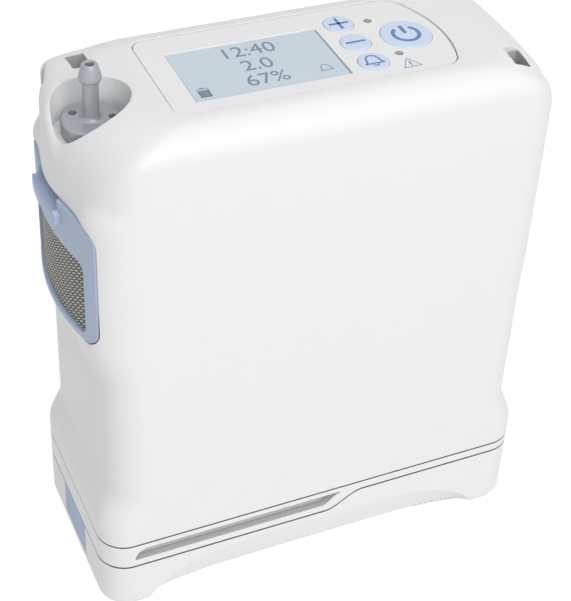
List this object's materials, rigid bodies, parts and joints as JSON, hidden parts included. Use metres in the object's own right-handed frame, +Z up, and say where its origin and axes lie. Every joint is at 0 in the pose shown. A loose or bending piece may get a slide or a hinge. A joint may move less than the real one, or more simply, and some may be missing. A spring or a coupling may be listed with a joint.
{
  "type": "oxygen concentrator",
  "caption": "Small portable oxygen concentrator: white upright case with top control panel and screen, outlet nozzle in a well, side intake filter and slide-on battery base.",
  "frame": {"origin": "on the middle of the battery underside, where the unit stands; midway between the front and back faces and between the two ends of the base", "axes": "+Z up along the case, -Y out of the wide front face, +X to the right seen from the front; the nozzle and intake filter are on the -X side"},
  "size_m": [0.1499, 0.0658, 0.184],
  "materials": {
    "housing_white": "fine satin moulded plastic",
    "panel_white": "smooth satin plastic",
    "button_blue": "soft satin keys, pale blue",
    "screen": "clear window over a pale blue display",
    "black_plastic": "moulded, inside the case",
    "silicone_black": "soft rubber",
    "circuit_board": "green board",
    "lamp_clear": "translucent light guide",
    "nozzle_grey": "grey, slightly metallic satin",
    "filter_felt": "white felt",
    "filter_blue": "pale blue satin plastic",
    "filter_mesh": "fine woven mesh",
    "filter_foam": "open foam",
    "latch_blue": "blue satin plastic",
    "steel": "plated steel",
    "cell_wrap": "shrink wrapped cells",
    "brass": "contact blades",
    "aluminium": "bare machined or extruded",
    "motor_black": "black painted can",
    "grille_grey": "grey slotted insert",
    "tubing": "clear silicone tube"
  },
  "bodies": {
    "housing": {"alert_lamp": "lamp_clear", "battery_socket": "brass", "breath_lamp": "lamp_clear", "column_manifold": "black_plastic", "compressor_bracket": "steel", "control_panel": "panel_white", "crankcase": "aluminium", "crankcase_cover": "aluminium", "cylinder_head_left": "aluminium", "cylinder_head_right": "aluminium", "dc_socket": "black_plastic", "display_board": "circuit_board", "exhaust_grille": "grille_grey", "exhaust_muffler": "filter_foam", "fan_frame": "black_plastic", "housing_screw_1": "steel", "housing_screw_2": "steel", "housing_screw_3": "steel", "housing_screw_4": "steel", "intake_tube": "tubing", "keypad": "silicone_black", "lcd_module": "black_plastic", "lcd_window": "screen", "lower_housing": "housing_white", "main_board": "circuit_board", "motor_stator": "motor_black", "nozzle_socket": "black_plastic", "output_filter": "filter_felt", "product_tank": "black_plastic", "product_tube": "tubing", "rubber_isolator_left": "silicone_black", "rubber_isolator_right": "silicone_black", "sieve_column_front": "aluminium", "sieve_column_rear": "aluminium", "solenoid_valves": "steel", "speaker": "black_plastic", "upper_housing": "housing_white", "usb_socket": "steel", "valve_manifold": "black_plastic"},
    "battery": {"battery_case": "housing_white", "battery_lid": "housing_white", "battery_cell_1": "cell_wrap", "battery_cell_2": "cell_wrap", "battery_board": "circuit_board", "battery_contacts": "brass", "latch_pin": "steel", "latch_spring": "steel"},
    "latch": {"battery_latch": "latch_blue"},
    "intake_filter": {"intake_filter_frame": "filter_blue", "intake_filter_mesh": "filter_mesh", "intake_filter_foam": "filter_foam"},
    "plus_key": {"plus_button": "button_blue"},
    "minus_key": {"minus_button": "button_blue"},
    "alert_key": {"alert_button": "button_blue"},
    "power_key": {"power_button": "button_blue"},
    "nozzle": {"cannula_nozzle": "nozzle_grey", "nozzle_o_ring": "silicone_black"},
    "fan": {"fan_rotor": "black_plastic"},
    "crank": {"crank_shaft": "steel", "motor_rotor": "steel"}
  },
  "joints": [
    {"name": "battery_slide", "type": "slide", "parent": "housing", "child": "battery", "axis": [1, 0, 0], "range_m": [0, 0.06]},
    {"name": "battery_latch_press", "type": "hinge", "parent": "battery", "child": "latch", "pos_m": [-0.0702, 0, 0.0074], "axis": [0, 1, 0], "range_deg": [0, 5], "stiffness_Nm_per_rad": 0.5},
    {"name": "intake_filter_pull", "type": "slide", "parent": "housing", "child": "intake_filter", "axis": [-1, 0, 0], "range_m": [0, 0.015]},
    {"name": "plus_button_press", "type": "slide", "parent": "housing", "child": "plus_key", "axis": [0, 0, -1], "range_m": [0, 0.0007], "stiffness_N_per_m": 900},
    {"name": "minus_button_press", "type": "slide", "parent": "housing", "child": "minus_key", "axis": [0, 0, -1], "range_m": [0, 0.0007], "stiffness_N_per_m": 900},
    {"name": "alert_button_press", "type": "slide", "parent": "housing", "child": "alert_key", "axis": [0, 0, -1], "range_m": [0, 0.0007], "stiffness_N_per_m": 900},
    {"name": "power_button_press", "type": "slide", "parent": "housing", "child": "power_key", "axis": [0, 0, -1], "range_m": [0, 0.0007], "stiffness_N_per_m": 900},
    {"name": "nozzle_turn", "type": "hinge", "parent": "housing", "child": "nozzle", "pos_m": [-0.0628, -0.0036, 0.165], "axis": [0, 0, 1], "range_deg": [0, 360]},
    {"name": "fan_spin", "type": "hinge", "parent": "housing", "child": "fan", "pos_m": [-0.0633, 0, 0.12], "axis": [1, 0, 0], "continuous": true},
    {"name": "crank_spin", "type": "hinge", "parent": "housing", "child": "crank", "pos_m": [-0.032, 0, 0.058], "axis": [0, 1, 0], "continuous": true}
  ]
}
